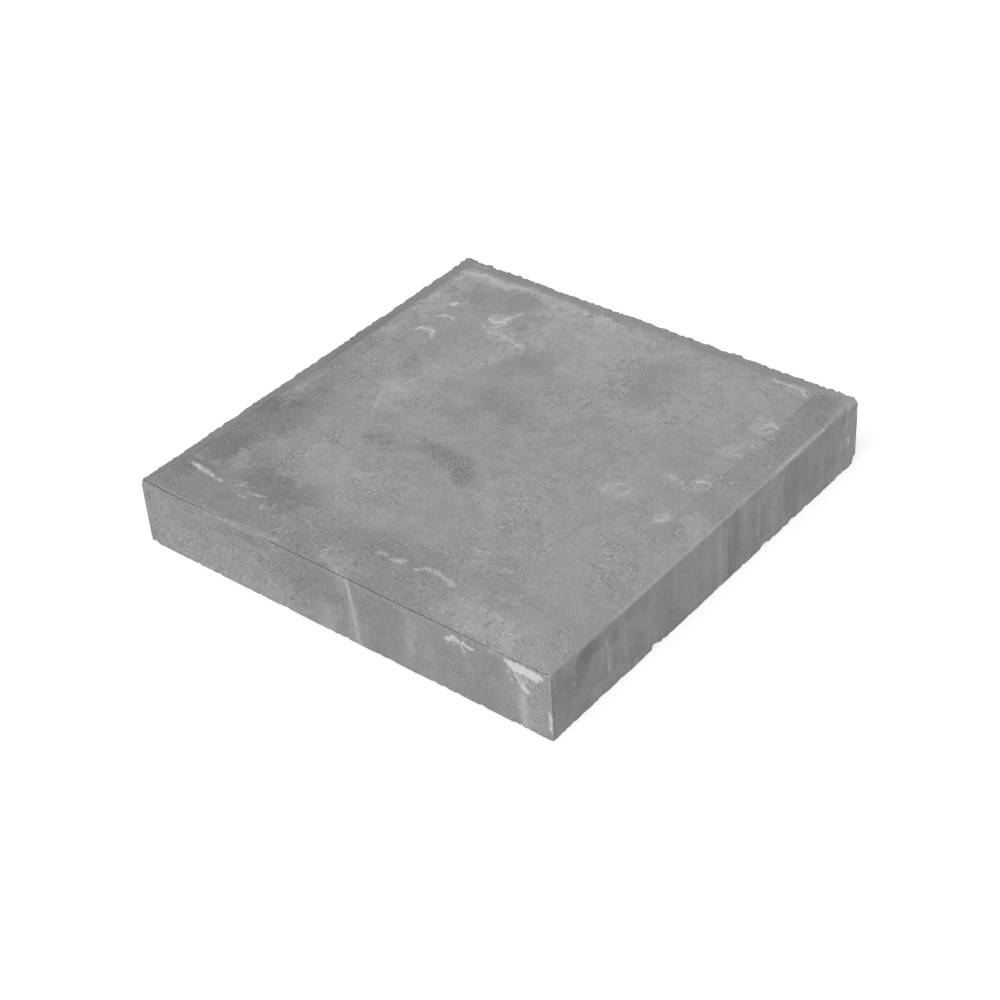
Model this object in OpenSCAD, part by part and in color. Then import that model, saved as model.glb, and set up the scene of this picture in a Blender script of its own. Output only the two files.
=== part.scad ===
// Square pillar cap of precast concrete, cast as one piece.
//
// An upright edge carries a weathered (sloping) border, which is mitred at four hips and
// rises to a flat square panel. The bed underneath has a half-round drip groove that runs
// all the way round, outside the pillar that the cap sits on.
// The origin is the centre of the bed, and +Z is up. Sizes are in millimetres.

/* [Overall] */
// Length of the cap along X
cap_x = 400; // [280:5:600]
// Width of the cap along Y
cap_y = 400; // [280:5:600]
// Height of the upright edge, from the bed to the outer arris
edge_h = 60; // [40:1:120]

/* [Weathered border] */
// Width of the sloping border in plan, from the outer arris to the panel
border_w = 25; // [12:1:60]
// Rise of the border, from the outer arris to the panel
border_rise = 12; // [4:1:40]

/* [Arrises] */
// Radius of the outer arris, where the upright edge meets the border
arris_r = 2; // [1:0.5:6]
// Radius of the soft break, where the border meets the panel
break_r = 15; // [4:1:40]
// Radius of the four upright corners
corner_r = 1.5; // [1:0.5:10]
// Radius of the lower arris, where the upright edge meets the bed
foot_r = 1; // [0.5:0.5:4]

/* [Drip groove] */
// Distance from the face of the upright edge to the centre line of the groove
drip_inset = 18; // [15:1:40]
// Width of the groove at the bed; its section is half of a circle
drip_w = 10; // [6:1:16]

/* [Hidden] */

// Facets in each rounded stretch of the section
arc_steps = 8;
// How far cutting shapes run past the faces that they trim
past = 1;

// Overall height, and the slope of the border above the level
cap_h = edge_h + border_rise;
slope = atan(border_rise / border_w);
slope_len = norm([border_w, border_rise]);

// Each rounding stays within its share of the border's slope
arris_turn = 90 - slope;
arris_fit = min(arris_r, 0.2 * slope_len / tan(arris_turn / 2));
break_fit = min(break_r, 0.8 * slope_len / tan(slope / 2));

// Points along an arc about a centre, from one angle to another
function arc(centre, r, from, to) =
    [for (i = [0 : arc_steps]) let (a = from + (to - from) * i / arc_steps)
        centre + r * [cos(a), sin(a)]];

// Right half of the section, from the bed up over the arris and the break to the panel
function half_section(half_w) = concat(
    arc([half_w - foot_r, foot_r], foot_r, -90, 0),
    arc([half_w - arris_fit, edge_h - arris_fit * tan(arris_turn / 2)],
        arris_fit, 0, arris_turn),
    arc([half_w - border_w - break_fit * tan(slope / 2), cap_h - break_fit],
        break_fit, arris_turn, 90));

// Whole section: the right half, then its mirror image in the other order
function section(half_w) =
    let (right = half_section(half_w))
    concat(right, [for (i = [len(right) - 1 : -1 : 0]) [-right[i][0], right[i][1]]]);

// Bar with the cap's section across X, laid along Y
module section_bar(across, along) {
    rotate([90, 0, 0])
        linear_extrude(height = along, center = true)
            polygon(section(across / 2));
}

// Outline of the cap in plan, with its rounded upright corners
module plan_outline() {
    square([cap_x - 2 * corner_r, cap_y], center = true);
    square([cap_x, cap_y - 2 * corner_r], center = true);
    for (sx = [-1, 1], sy = [-1, 1])
        translate([sx * (cap_x / 2 - corner_r), sy * (cap_y / 2 - corner_r)])
            circle(r = corner_r, $fn = 48);
}

// Two bars across each other meet in a mitre at every hip, and the outline rounds the corners
module weathered_block() {
    intersection() {
        section_bar(cap_x, cap_y + 2 * past);
        rotate([0, 0, 90]) section_bar(cap_y, cap_x + 2 * past);
        translate([0, 0, -past])
            linear_extrude(height = cap_h + 2 * past) plan_outline();
    }
}

// One run of the groove on the side that faces -Y, mitred at 45 degrees at both ends
module drip_run(side_len, side_depth) {
    reach = drip_inset + drip_w;
    translate([0, -side_depth / 2, 0]) intersection() {
        translate([0, drip_inset, 0]) rotate([0, 90, 0])
            cylinder(r = drip_w / 2, h = side_len, center = true, $fn = 64);
        translate([0, 0, -drip_w])
            linear_extrude(height = 2 * drip_w)
                polygon([[-side_len / 2, 0], [side_len / 2, 0],
                    [side_len / 2 - reach, reach], [-side_len / 2 + reach, reach]]);
    }
}

// Drip groove round all four sides of the bed
module drip_groove() {
    for (turn = [0, 180]) {
        rotate([0, 0, turn]) drip_run(cap_x, cap_y);
        rotate([0, 0, turn + 90]) drip_run(cap_y, cap_x);
    }
}

module cap() {
    color([0.59, 0.59, 0.59]) difference() {
        weathered_block();
        drip_groove();
    }
}

cap();
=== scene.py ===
"""Looks of a precast concrete pillar cap: its cast skin, worn arrises, chips and stains.

The cap is one piece, so one mesh stands for it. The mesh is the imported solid's own section
carried round the square plan, then worn by fields worked out from each point's place.
Lengths are in metres in the meshes and in millimetres where a name or a list says so.
"""
import functools
import itertools
from math import cos, radians, sin, tan

import bpy
import numpy as np
from mathutils import Matrix, Vector


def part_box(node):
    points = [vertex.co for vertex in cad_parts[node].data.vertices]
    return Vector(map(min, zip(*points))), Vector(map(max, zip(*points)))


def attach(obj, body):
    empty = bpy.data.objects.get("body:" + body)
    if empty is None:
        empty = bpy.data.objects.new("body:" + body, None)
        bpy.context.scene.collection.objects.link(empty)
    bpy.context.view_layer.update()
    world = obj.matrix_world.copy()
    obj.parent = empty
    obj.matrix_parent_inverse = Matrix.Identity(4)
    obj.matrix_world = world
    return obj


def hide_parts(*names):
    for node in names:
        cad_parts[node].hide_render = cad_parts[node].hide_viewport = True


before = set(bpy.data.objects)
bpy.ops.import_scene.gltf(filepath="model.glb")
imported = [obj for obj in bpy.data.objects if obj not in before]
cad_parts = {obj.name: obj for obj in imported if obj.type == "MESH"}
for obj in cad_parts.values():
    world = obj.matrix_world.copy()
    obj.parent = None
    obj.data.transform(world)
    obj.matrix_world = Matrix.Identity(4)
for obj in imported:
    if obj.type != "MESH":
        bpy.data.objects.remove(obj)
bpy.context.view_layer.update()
cap_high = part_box("cap")[1]

MM = 0.001
SEED = 41
SEEDS_APART = 31

# The solid's own sizes, in millimetres: the overall ones come from the frame.
HALF = cap_high.x / MM
TOP = cap_high.z / MM
BORDER_WIDTH = 25.0
BORDER_RISE = 12.0
ARRIS_RADIUS = 2.0
BREAK_RADIUS = 15.0
CORNER_RADIUS = 1.5
FOOT_RADIUS = 1.0
DRIP_INSET = 18.0
DRIP_RADIUS = 5.0
EDGE = TOP - BORDER_RISE

# Mesh steps along each side of the plan; the panel has half as many and the bed a quarter.
SIDE_STEPS = 256
# Near a corner the steps are shorter by this share, which fades over this many of them.
CORNER_CROWDING = 0.55
CROWDED_STEPS = 7
# How much larger the plan's corner radius has grown by the top of the sloping border.
CORNER_GROWTH = 5

# A number of its own for each noise field, so that no two fields are alike.
(WAVE_FIELD, FLUTE_FIELD, ARRIS_FIELD, FOOT_FIELD, CORNER_FIELD, BITE_FIELD,
 FACET_FIELD) = range(1, 8)
OUTLINE_FIELDS = (11, 12)
OUTLINE_SIZE = 26
DRIFT_FIELD = 14
BACK_ARRIS_FIELD, LEFT_ARRIS_FIELD, BACK_BORDER_FIELD, LEFT_BORDER_FIELD, BACK_SWELL_FIELD = range(31, 36)

# Large numbers that mix a cell's three counts with a field's own number, and then their bits.
CELL_MIX = (73856093, 19349663, 83492791)
FIELD_MIX = 2654435761
BIT_MIX = (2246822519, 3266489917)
LOW_32_BITS = 0xFFFFFFFF
LOW_24_BITS = 0xFFFFFF


# ---- numbers that vary smoothly

def smooth(low, high, value):
    """Rises from 0 at low to 1 at high with level ends: 3 t squared less 2 t cubed."""
    t = np.clip((value - low) / (high - low), 0, 1)
    return t * t * (3 - 2 * t)


def scatter(cells, seed):
    """One number from -1 to 1 for each whole-numbered cell, by mixing its three counts."""
    a, b, c = (cells.astype(np.int64) * CELL_MIX).T
    mixed = a ^ b ^ c ^ (seed * FIELD_MIX)
    mixed = (mixed ^ (mixed >> 15)) * BIT_MIX[0] & LOW_32_BITS
    mixed = (mixed ^ (mixed >> 13)) * BIT_MIX[1] & LOW_32_BITS
    return ((mixed ^ (mixed >> 16)) & LOW_24_BITS) / (LOW_24_BITS // 2) - 1


def noise(points, size, seed):
    """Smooth field from about -1 to 1: scattered numbers at the corners of boxes of the given
    size, blended across each box by the smooth curve along its three sides."""
    q = points / np.asarray(size, float)
    cell = np.floor(q)
    t = q - cell
    t = t * t * (3 - 2 * t)
    total = np.zeros(len(points))
    for corner in itertools.product((0, 1), repeat=3):
        share = np.prod(np.where(np.array(corner) == 1, t, 1 - t), axis=1)
        total += share * scatter(cell + corner, seed)
    return total


def rough(points, size, seed, octaves=3, falloff=0.5):
    """Sum of noise fields, each half the size of the last and falloff times as strong."""
    total = np.zeros(len(points))
    for k in range(octaves):
        layer_size = np.asarray(size, float) / 2 ** k
        total += falloff ** k * noise(points, layer_size, SEED + seed + SEEDS_APART * k)
    return total


# ---- the section and its rings

def arc(centre, radius, start, stop, steps):
    """Points at equal angles on a circle, from start to stop degrees."""
    angle = np.radians(np.linspace(start, stop, steps + 1))
    return np.stack([centre[0] + radius * np.cos(angle), centre[1] + radius * np.sin(angle)], 1)


def line(start, stop, steps, crowd=0.0):
    """Points on a straight line, drawn towards both of its ends by crowd, from 0 to 1."""
    t = np.linspace(0, 1, steps + 1)
    t = (1 - crowd) * t + crowd * (1 - np.cos(np.pi * t)) / 2
    return np.outer(1 - t, start) + np.outer(t, stop)


def joined(*runs):
    """One list of points from runs that each start where the last one stopped."""
    return np.concatenate([runs[0]] + [run[1:] for run in runs[1:]])


def section_rows():
    """Rows of the section as (inset from the upright face, height), in three stretches: from
    the panel down to the bed's rim, the groove's stretch, and the bed inside the groove. Each
    run ends with its number of steps, and with how much a line's steps crowd its ends."""
    slope = np.degrees(np.arctan2(BORDER_RISE, BORDER_WIDTH))
    turn = 90 - slope
    arris_cut = ARRIS_RADIUS * tan(radians(turn / 2))
    break_cut = BREAK_RADIUS * tan(radians(slope / 2))
    break_arc = arc((BORDER_WIDTH + break_cut, TOP - BREAK_RADIUS), BREAK_RADIUS, 90, 90 + slope, 5)
    arris_arc = arc((ARRIS_RADIUS, EDGE - arris_cut), ARRIS_RADIUS, 90 + slope, 180, 6)
    foot_arc = arc((FOOT_RADIUS, FOOT_RADIUS), FOOT_RADIUS, 180, 270, 3)
    lip = DRIP_INSET - DRIP_RADIUS
    inner_lip = DRIP_INSET + DRIP_RADIUS
    shown = joined(line((BORDER_WIDTH + break_cut + 3.6, TOP), break_arc[0], 3),
                   break_arc,
                   line(break_arc[-1], arris_arc[0], 10, 0.4),
                   arris_arc,
                   line(arris_arc[-1], foot_arc[0], 32, 0.75),
                   foot_arc,
                   line(foot_arc[-1], (5.0, 0.0), 3))
    groove = joined(line((7.0, 0.0), (lip, 0.0), 3),
                    arc((DRIP_INSET, 0.0), DRIP_RADIUS, 180, 0, 10),
                    line((inner_lip, 0.0), (inner_lip + 4, 0.0), 2))
    bed = line((inner_lip + 8, 0.0), (inner_lip + 16, 0.0), 1)
    return shown, groove, bed


def sharpened(rows):
    """The shown rows as if the outer arris were sharp. Each row keeps its distance from the
    middle of the arris's arc, measured along the section, and lies that far up the border or
    down the face; the foot and what is under it stay as they are."""
    steps = np.linalg.norm(np.diff(rows, axis=0), axis=1)
    girth = np.concatenate([[0], np.cumsum(steps)])
    middle = np.array([0.3 * ARRIS_RADIUS, EDGE - 0.3 * ARRIS_RADIUS])
    girth -= girth[np.argmin(np.linalg.norm(rows - middle, axis=1))]
    slope = np.arctan2(BORDER_RISE, BORDER_WIDTH)
    up = np.clip(-girth, 0, BORDER_WIDTH / cos(slope))
    border = np.stack([up * cos(slope), EDGE + up * sin(slope)], 1)
    face = np.stack([np.zeros_like(girth), EDGE - girth], 1)
    sharp = np.where((girth < 0)[:, None], border, face)
    keep = (rows[:, 0] > BORDER_WIDTH) | (rows[:, 1] < 2 * FOOT_RADIUS)
    return np.where(keep[:, None], rows, sharp)


def spread(steps):
    """Places from -1 to 1 along a side, about twice as close together near the corners."""
    k = np.arange(steps)
    near_start, near_stop = np.exp(-k / CROWDED_STEPS), np.exp(-(steps - 1 - k) / CROWDED_STEPS)
    gaps = 1 - CORNER_CROWDING * near_start - CORNER_CROWDING * near_stop
    return np.concatenate([[0], np.cumsum(gaps)]) / gaps.sum() * 2 - 1


def round_corners(x, y, half, radius):
    """Draws the corners of a square ring in to a quarter circle: within radius of both faces
    the shares a and b of that corner become a sqrt(1 - b b / 2) and b sqrt(1 - a a / 2)."""
    core = half - radius
    a = np.clip((np.abs(x) - core) / radius, 0, 1)
    b = np.clip((np.abs(y) - core) / radius, 0, 1)
    corner = (a > 0) & (b > 0)
    new_x = np.where(corner, np.sign(x) * (core + radius * a * np.sqrt(1 - b * b / 2)), x)
    new_y = np.where(corner, np.sign(y) * (core + radius * b * np.sqrt(1 - a * a / 2)), y)
    return new_x, new_y


def rings(rows, places, radii):
    """Rows carried round the square plan, anticlockwise from its lowest corner: four sides of
    the places, scaled to each row's half width, with that row's corner radius."""
    side = places[:-1]
    one = np.ones_like(side)
    x = np.concatenate([side, one, -side, -one])
    y = np.concatenate([-one, side, one, -side])
    half = (HALF - rows[:, 0])[:, None]
    px, py = round_corners(x * half, y * half, half, np.maximum(radii, 1e-6)[:, None])
    height = np.broadcast_to(rows[:, 1][:, None], px.shape)
    return np.stack([px, py, height], 2)


def ring_quads(first, rows, count):
    """Four-sided faces between rows of count points whose numbers start at first."""
    r, k = np.meshgrid(np.arange(rows - 1), np.arange(count), indexing="ij")
    nxt = (k + 1) % count
    a = first + r * count
    return np.stack([a + k, a + count + k, a + count + nxt, a + nxt], 2).reshape(-1, 4)


def halving_faces(outer, inner, count, flip):
    """Three triangles for each step of a ring of half as many points: numbers of the finer
    ring start at outer and those of the coarser one at inner."""
    k = np.arange(count // 2)
    a, b, c = outer + 2 * k, outer + 2 * k + 1, outer + (2 * k + 2) % count
    d, e = inner + k, inner + (k + 1) % (count // 2)
    tris = np.concatenate([np.stack(t, 1) for t in ((a, b, d), (b, e, d), (b, c, e))])
    return tris[:, ::-1] if flip else tris


def field_grid(edge_first, steps, inner_first):
    """Numbers of a square grid's points whose border is a ring that starts at edge_first."""
    grid = np.zeros((steps + 1, steps + 1), int)
    inner = np.arange((steps - 1) ** 2).reshape(steps - 1, steps - 1)
    grid[1:-1, 1:-1] = inner_first + inner
    k = np.arange(steps)
    grid[k, 0] = edge_first + k
    grid[steps, k] = edge_first + steps + k
    grid[steps - k, steps] = edge_first + 2 * steps + k
    grid[0, steps - k] = edge_first + 3 * steps + k
    return grid


def grid_quads(grid, flip):
    """Four-sided faces of a numbered grid, facing up, or down with flip."""
    quads = np.stack([grid[:-1, :-1], grid[1:, :-1], grid[1:, 1:], grid[:-1, 1:]], 2).reshape(-1, 4)
    return quads[:, ::-1] if flip else quads


def corner_radii(rows):
    """Corner radius of each ring: that of the upright corners at the face, larger where the
    mould's corner fills out at the break, and none on the flats inside it."""
    inset = rows[:, 0]
    grown = CORNER_RADIUS + CORNER_GROWTH * smooth(0, BORDER_WIDTH, inset)
    top = grown * (1 - smooth(BORDER_WIDTH + 3, BORDER_WIDTH + 7, inset))
    bed = CORNER_RADIUS * (1 - smooth(0, 6, inset))
    return np.where(rows[:, 1] > EDGE / 2, top, bed)


def cap_surface():
    """Points, four-sided and three-sided faces of the unworn cap, and its points again with
    sharp arrises and corners, all in millimetres."""
    shown, groove, bed = section_rows()
    full, half, quarter = (spread(SIDE_STEPS)[::k] for k in (1, 2, 4))
    panel_row = np.array([[BORDER_WIDTH + 10.0, TOP]])
    blocks = [(shown, full), (panel_row, half), (groove, half), (bed, quarter)]
    points, sharp, starts, total = [], [], [], 0
    for rows, places in blocks:
        block = rings(rows, places, corner_radii(rows)).reshape(-1, 3)
        points.append(block)
        sharp_rows = sharpened(rows) if rows is shown else rows
        sharp.append(rings(sharp_rows, places, np.zeros(len(rows))).reshape(-1, 3))
        starts.append(total)
        total += len(block)
    n, m, q = 4 * SIDE_STEPS, 2 * SIDE_STEPS, SIDE_STEPS
    shown_at, panel_at, groove_at, bed_at = starts
    quads = [ring_quads(shown_at, len(shown), n), ring_quads(groove_at, len(groove), m),
             ring_quads(bed_at, len(bed), q)]
    tris = [halving_faces(shown_at, panel_at, n, False),
            halving_faces(shown_at + (len(shown) - 1) * n, groove_at, n, True),
            halving_faces(groove_at + (len(groove) - 1) * m, bed_at, m, True)]
    for edge, places, level, inset, flip in (
            (panel_at, half, TOP, panel_row[0, 0], False),
            (bed_at + (len(bed) - 1) * q, quarter, 0.0, bed[-1, 0], True)):
        inner = places[1:-1] * (HALF - inset)
        gx, gy = np.meshgrid(inner, inner, indexing="ij")
        field = np.stack([gx, gy, np.full_like(gx, level)], 2).reshape(-1, 3)
        points.append(field)
        sharp.append(field)
        quads.append(grid_quads(field_grid(edge, len(places) - 1, total), flip))
        total += gx.size
    return [np.concatenate(part) for part in (points, quads, tris, sharp)]


def outward(points, quads, tris):
    """Unit normal of each point: the sum of the areas' normals of the faces that meet there."""
    normal = np.zeros_like(points)
    for faces in (quads, tris):
        p = points[faces]
        if faces.shape[1] == 4:
            area = np.cross(p[:, 2] - p[:, 0], p[:, 3] - p[:, 1])
        else:
            area = np.cross(p[:, 1] - p[:, 0], p[:, 2] - p[:, 0])
        for k in range(faces.shape[1]):
            np.add.at(normal, faces[:, k], area)
    return normal / np.linalg.norm(normal, axis=1, keepdims=True)


# ---- wear

# Bites out of the arrises and corners: place on the arris, radius of the bite and its depth.
CHIPS = [
    # front foot
    (171, -200, 0, 5, 2.2), (165, -200, 0, 4, 1.0), (184, -200, 0, 7, 1.4), (50, -200, 0, 5, 1.3),
    (36, -200, 0, 4, 0.8), (-126, -200, 0, 6, 0.6), (-53, -200, 0, 5, 0.7), (11, -200, 0, 4, 0.6),
    # right foot
    (200, -179, 0, 10, 1.7), (200, -77, 0, 6, 4.4), (200, -70, 0, 6, 1.8), (200, -25, 0, 5, 1.0),
    (200, 1, 0, 5, 1.1), (200, 66, 0, 8, 2.8), (200, 93, 0, 6, 1.2), (200, 105, 0, 9, 1.8),
    (200, 124, 0, 8, 2.1), (200, 172, 0, 10, 1.8),
    # back arris and the corners at the far right
    (-182, 200, 62, 7.5, 3.6), (-177, 200, 61, 5, 2.4), (-164, 200, 60, 4, 1.6), (200, 200, 0, 15, 6.6),
    # near corner and left corner
    (200, -200, 0, 5, 1.0), (-200, -200, 0, 5, 1.2), (-194, -200, 0, 9, 1.8), (200, -200, 60, 4, 0.5),
]

# Corners of the top that are rubbed flat: place, outward direction and depth of the facet.
FACETS = [
    ((200, 200, 60), (1.0, 0.12, 0.9), 3.0), ((-200, 200, 60), (-0.6, 0.6, 0.9), 1.5),
    ((-200, -200, 60), (-1.0, -1.0, 0.5), 2.6),
]


def inset_of(points):
    """How far in each point is from the nearest upright face."""
    return HALF - np.abs(points[:, :2]).max(axis=1)


def on_sides(points):
    """Share of each point that belongs to the front, right, back and left sides: 1 at the face
    and nothing 14 mm in from it."""
    x, y = points[:, 0], points[:, 1]
    return [smooth(HALF - 14, HALF - 2, v) for v in (-y, x, y, -x)]


def lumps(points, size, seed, level, swing):
    """Loss with lumps of a size: level plus swing times a rough field, and never below 0."""
    return np.clip(level + swing * rough(points, size, seed, 3, 0.75), 0, None)


def worn(points, normal):
    """Points moved by the cap's wear, and how deep each one went, in millimetres: a slow
    waviness, flutes down the upright faces, crumbled arrises, and swells and dips of the border
    along the back and the left, with a lump beside the far corner; then the facets and the
    bites. Each loss is a bell or a smooth step round its arris times a rough field."""
    x, y, z = points.T
    inset = inset_of(points)
    front, right, back, left = on_sides(points)

    # where each kind of wear acts, from 0 to 1
    upright = smooth(3.0, 8.0, EDGE - z) * smooth(3, 1, inset)
    arris = np.exp(-((inset / 2.6) ** 2 + ((z - EDGE) / 2.6) ** 2))
    foot = np.exp(-((inset / 3.0) ** 2 + (z / 3.5) ** 2))
    corner = np.exp(-((HALF - np.abs(x)) ** 2 + (HALF - np.abs(y)) ** 2) / 8.0)
    border = smooth(EDGE - 2, EDGE, z) * np.exp(-((inset / 12) ** 2))
    rubbed = front * smooth(-160, -140, x) * smooth(-50, -70, x) + right * smooth(-120, -60, y)

    # how deep it goes there, in millimetres
    wave = 0.12 + 0.10 * rough(points, 70, WAVE_FIELD, 3)
    flutes = upright * (0.20 + 0.15 * right) * lumps(points, (12, 12, 90), FLUTE_FIELD, 0.5, 0.5)
    arris_loss = arris * (0.10 + 0.35 * rubbed) * lumps(points, 9, ARRIS_FIELD, 0.7, 0.7)
    back_crumbs = lumps(points, 4, BACK_ARRIS_FIELD, -0.4, 1.6)
    left_crumbs = lumps(points, 4, LEFT_ARRIS_FIELD, 0.6, 1.0)
    arris_loss += arris * (back * back_crumbs + left * left_crumbs)
    back_dips = rough(points, 4.5, BACK_BORDER_FIELD, 3, 0.8) + 0.6 * rough(points, 18, BACK_SWELL_FIELD)
    left_dips = 0.5 * rough(points, 2.8, LEFT_BORDER_FIELD, 3, 0.8)
    border_loss = border * (back * (back_dips - 0.15) + left * (left_dips + 0.45))
    lump_place, lump_reach, lump_height = -192, 5, 1.2
    border_loss -= lump_height * border * back * np.exp(-(((x - lump_place) / lump_reach) ** 2))
    foot_share = 0.4 - 0.1 * right + 0.3 * back + 0.2 * left
    foot_loss = foot * foot_share * lumps(points, (4.5, 4.5, 20), FOOT_FIELD, -0.5, 2.8)
    corner_loss = corner * (0.1 + 0.2 * back) * lumps(points, 4, CORNER_FIELD, -0.5, 2.4)

    loss = wave + flutes + arris_loss + foot_loss + corner_loss
    shrunk = points - normal * (np.clip(loss, 0, None) + border_loss)[:, None]
    shrunk[:, :2] = np.clip(shrunk[:, :2], -HALF, HALF)
    shrunk = bitten(faceted(shrunk))
    depth = np.linalg.norm(shrunk - points, axis=1) - wave
    return shrunk, depth


def faceted(points):
    """Points past a facet's plane are put back on it. The plane crosses the facet's direction
    at its depth below the corner, and wavers by a noise field."""
    points = points.copy()
    for corner, away, depth in FACETS:
        away = np.array(away) / np.linalg.norm(away)
        waver = 0.35 * rough(points, 6, FACET_FIELD, 3)
        above = (points - np.array(corner, float)) @ away + depth + waver
        points -= np.clip(above, 0, None)[:, None] * away
    return points


def bitten(points):
    """Points inside a bite are moved out to its ball: the ball's centre stands outside the
    arris, so that it reaches the stated depth, and its radius wavers by a noise field."""
    points = points.copy()
    middle = np.array([0, 0, EDGE / 2])
    for x, y, z, radius, depth in CHIPS:
        place = np.array([x, y, z], float)
        away = place - middle
        on = (np.abs(away) >= np.array([HALF, HALF, EDGE / 2]) - 0.5).astype(float)
        away = np.sign(away) * on
        away /= np.linalg.norm(away)
        centre = place + away * (radius - depth)
        ray = points - centre
        length = np.linalg.norm(ray, axis=1)
        reach = radius * (1 + 0.16 * rough(points, 5, BITE_FIELD, 2))
        inside = length < reach
        points[inside] = centre + ray[inside] / length[inside, None] * reach[inside, None]
    return points


# ---- stains, as values of each point

# Patches, each a place, two half widths, how much lighter or darker, and any turn in degrees.
TOP_PATCHES = [
    # pale: the far rim and the left rim, where lime has dried
    (-152, 166, 26, 9, 0.24), (-115, 170, 22, 6, 0.20), (-170, 187, 9, 6, 0.30),
    (-68, 169, 34, 8, 0.20), (-18, 167, 26, 8, 0.08), (-163, 113, 12, 25, 0.22),
    (-167, 62, 7, 16, 0.12), (42, 168, 44, 8, 0.05), (-74, 150, 16, 10, 0.10),
    (-158, 148, 12, 8, 0.07), (-150, 88, 8, 8, 0.07),
    # pale: broad worn bands of the panel
    (-79, 62, 15, 50, 0.13, -24), (-110, -10, 13, 32, 0.11, 20), (-63, -35, 9, 8, 0.08),
    (-90, 4, 15, 14, 0.09), (-82, -112, 34, 15, 0.08, -20), (-36, -110, 20, 12, 0.09),
    (28, 44, 20, 16, 0.06), (-100, 126, 9, 9, 0.12), (-90, -165, 12, 5, 0.04),
    (-20, 130, 50, 36, 0.13), (0, 152, 75, 16, 0.05), (118, 124, 50, 46, 0.09),
    (12, 88, 26, 26, 0.07), (80, 66, 26, 16, 0.07), (-97, 121, 11, 10, 0.12),
    (-1, -139, 9, 7, 0.08), (-86, 104, 15, 9, 0.08), (12, -191, 18, 7, 0.12),
    (-112, -170, 14, 6, 0.16), (62, -55, 28, 42, 0.04), (128, 0, 40, 28, 0.02),
    (150, -80, 34, 44, 0.03),
    # pale: spots by the right rim
    (120, -14, 13, 9, 0.10), (168, -20, 9, 12, 0.12), (168, 27, 8, 10, 0.12), (146, 20, 7, 5, 0.06),
    (165, 70, 9, 11, 0.09), (169, 117, 7, 9, 0.10), (160, 168, 9, 5, 0.06), (174, 98, 9, 18, 0.06),
    (50, 72, 10, 9, 0.04), (-92, -28, 9, 9, 0.05), (189, -9, 9, 11, 0.12),
    (130, -187, 32, 11, 0.12), (191, -60, 8, 50, 0.04),
    # dark: damp along the left rim and at the near left
    (-163, -113, 17, 54, -0.25), (-144, -60, 20, 24, -0.12), (-97, -156, 38, 14, -0.28, -14),
    (-122, -128, 26, 12, -0.08), (-120, -168, 44, 12, -0.04), (-164, -142, 18, 14, -0.08),
    (-180, -172, 20, 10, -0.09), (-172, -74, 12, 12, -0.07), (-70, -68, 14, 7, -0.12),
    (-160, -18, 18, 22, -0.08), (-136, -92, 12, 22, -0.05),
    (-172, 18, 12, 30, -0.09), (-111, 24, 11, 12, -0.06), (-70, 112, 12, 10, -0.05),
    (-10, 108, 12, 10, -0.05), (-60, -148, 16, 10, -0.06),
    # dark: across the panel
    (-31, -57, 20, 10, -0.10, 20), (-2, -59, 26, 14, -0.11, -20), (13, -70, 12, 9, -0.11, -35),
    (33, -47, 9, 8, -0.05), (-16, 24, 28, 15, -0.13, -30), (-42, -4, 20, 12, -0.08, 15),
    (-38, 78, 15, 28, -0.10, -28), (60, 118, 17, 34, -0.08, 12), (4, 75, 14, 12, -0.05),
    (-22, 101, 14, 7, -0.06), (-99, 154, 13, 15, -0.13), (-136, 140, 16, 12, -0.07),
    (50, 10, 10, 8, -0.05), (-118, 47, 10, 18, -0.06), (53, 45, 7, 6, -0.06),
    (66, -19, 5, 7, -0.07), (105, -128, 13, 5, -0.08, 25), (118, -152, 22, 11, -0.07),
    (36, -164, 56, 16, -0.12),
]
FRONT_PATCHES = [
    (-27, 42, 32, 20, -0.13), (-84, 55, 26, 6, -0.11), (-4, 42, 10, 16, -0.05),
    (44, 32, 19, 36, -0.12), (126, 30, 28, 36, -0.08), (188, 25, 10, 26, 0.06),
    (71, 36, 5, 22, 0.05), (71, 14, 6, 9, 0.05), (110, 13, 8, 7, 0.05), (-125, 18, 66, 22, 0.07),
    (-90, 3, 110, 8, 0.10), (-8, 24, 6, 16, 0.06), (9, 32, 4, 12, -0.08), (-150, 50, 14, 6, 0.05),
    (-186, 36, 12, 26, 0.05), (176, 46, 6, 4, 0.10), (176, 14, 4.5, 22, 0.16),
    (150, 44, 8, 14, -0.08),
]
RIGHT_PATCHES = [
    (-162, 46, 12, 13, -0.22, -14), (-186, 34, 12, 26, -0.11), (-150, 53, 12, 8, -0.12),
    (-172, 27, 8, 7, -0.10), (-96, 53, 20, 9, -0.11), (-110, 36, 9, 12, 0.05),
    (-108, 14, 9, 8, -0.09), (-32, 28, 9, 34, 0.09), (8, 28, 7, 40, 0.12), (24, 26, 7, 34, -0.12),
    (82, 30, 9, 38, 0.09), (108, 34, 18, 26, -0.10), (184, 20, 18, 26, 0.14),
    (190, 50, 9, 10, 0.12), (70, 52, 8, 8, 0.09), (-140, 7, 30, 8, 0.06), (120, 7, 70, 8, 0.06),
    (-62, 20, 8, 26, -0.05), (-127, 46, 6, 5, -0.12), (-54, 15, 8, 7, -0.05), (-14, 37, 5, 8, 0.08),
    (39, 38, 4, 22, 0.06), (-146, 10, 8, 5, 0.10), (-97, 2, 8, 5, 0.14), (62, 20, 3, 12, -0.10),
]

# Where sand lies thickest on the top.
SANDY_PATCHES = [(-12, -60, 34, 13, 0, -12), (-70, -68, 12, 8, 0)]

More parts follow.
